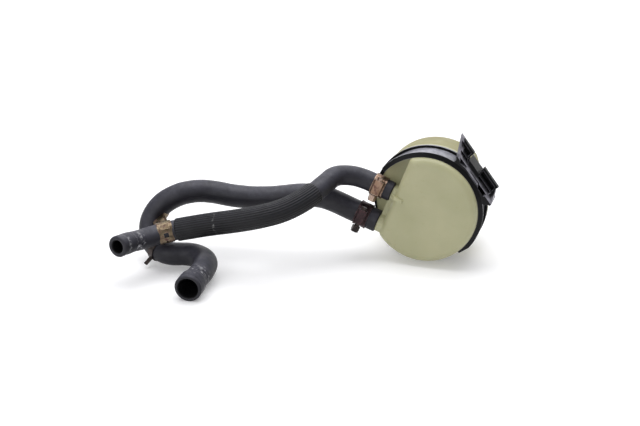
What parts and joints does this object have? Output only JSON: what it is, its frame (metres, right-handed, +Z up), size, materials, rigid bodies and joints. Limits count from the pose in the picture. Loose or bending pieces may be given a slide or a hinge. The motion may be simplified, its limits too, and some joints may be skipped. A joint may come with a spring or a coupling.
{
  "type": "power steering reservoir",
  "caption": "Round plastic fluid reservoir with a D-shaped sump, filler cap with dipstick, hooked mounting band and two clamped rubber hoses.",
  "frame": {"origin": "on the floor, under the centre of the box around the tank, its cap and its mounting band, hoses and what is on them left out", "axes": "+Y away from the sump's flat bottom towards the filler cap, +Z up as the reservoir lies on its side, X across the tank with the hoses towards -X"},
  "size_m": [0.3374, 0.2551, 0.1303],
  "materials": {
    "tank": "satin, slightly translucent moulding",
    "tank_top": "satin, slightly translucent moulding",
    "strainer": "satin",
    "mesh": "fine woven",
    "cap": "satin",
    "seal": "matt",
    "dipstick": "satin",
    "band": "satin with a light sheen",
    "hose": "matt with scuffs near the ends",
    "sleeve": "lengthwise ribs",
    "clip": "yellow plated, worn edges",
    "clamp": "tarnished plating",
    "clamp_rusty": "rusted plating",
    "screw": "tarnished plating"
  },
  "bodies": {
    "reservoir": {"lower_shell": "tank", "upper_shell": "tank_top", "strainer_frame": "strainer", "strainer_mesh": "mesh", "mounting_band": "band", "return_clamp_band": "clamp", "return_clamp_housing": "clamp", "suction_clamp_band": "clamp_rusty", "suction_clamp_housing": "clamp_rusty", "return_hose": "hose", "suction_hose": "hose", "ribbed_sleeve": "sleeve", "twin_clip": "clip", "elbow_clip": "clip"},
    "cap_core": {"cap_seal": "seal", "dipstick": "dipstick"},
    "cap": {"filler_cap": "cap"},
    "return_screw": {"return_clamp_screw": "screw"},
    "suction_screw": {"suction_clamp_screw": "screw"}
  },
  "joints": [
    {"name": "cap_lift", "type": "slide", "parent": "reservoir", "child": "cap_core", "axis": [0, 0.9993, -0.0363], "range_m": [0, 0.006]},
    {"name": "cap_turn", "type": "hinge", "parent": "cap_core", "child": "cap", "pos_m": [0.00187, 0.05093, 0.05385], "axis": [0, 0.9993, -0.0363], "range_deg": [0, 270]},
    {"name": "return_screw_turn", "type": "hinge", "parent": "reservoir", "child": "return_screw", "pos_m": [-0.043, -0.05801, 0.0778], "axis": [-0.3345, -0.2412, -0.911], "continuous": true},
    {"name": "suction_screw_turn", "type": "hinge", "parent": "reservoir", "child": "suction_screw", "pos_m": [-0.05799, -0.0606, 0.04694], "axis": [-0.3345, -0.2412, -0.911], "continuous": true}
  ],
  "couplings": [
    {"joint": "cap_lift", "follows": "cap_turn", "m_per_rad": 0.0012732}
  ]
}
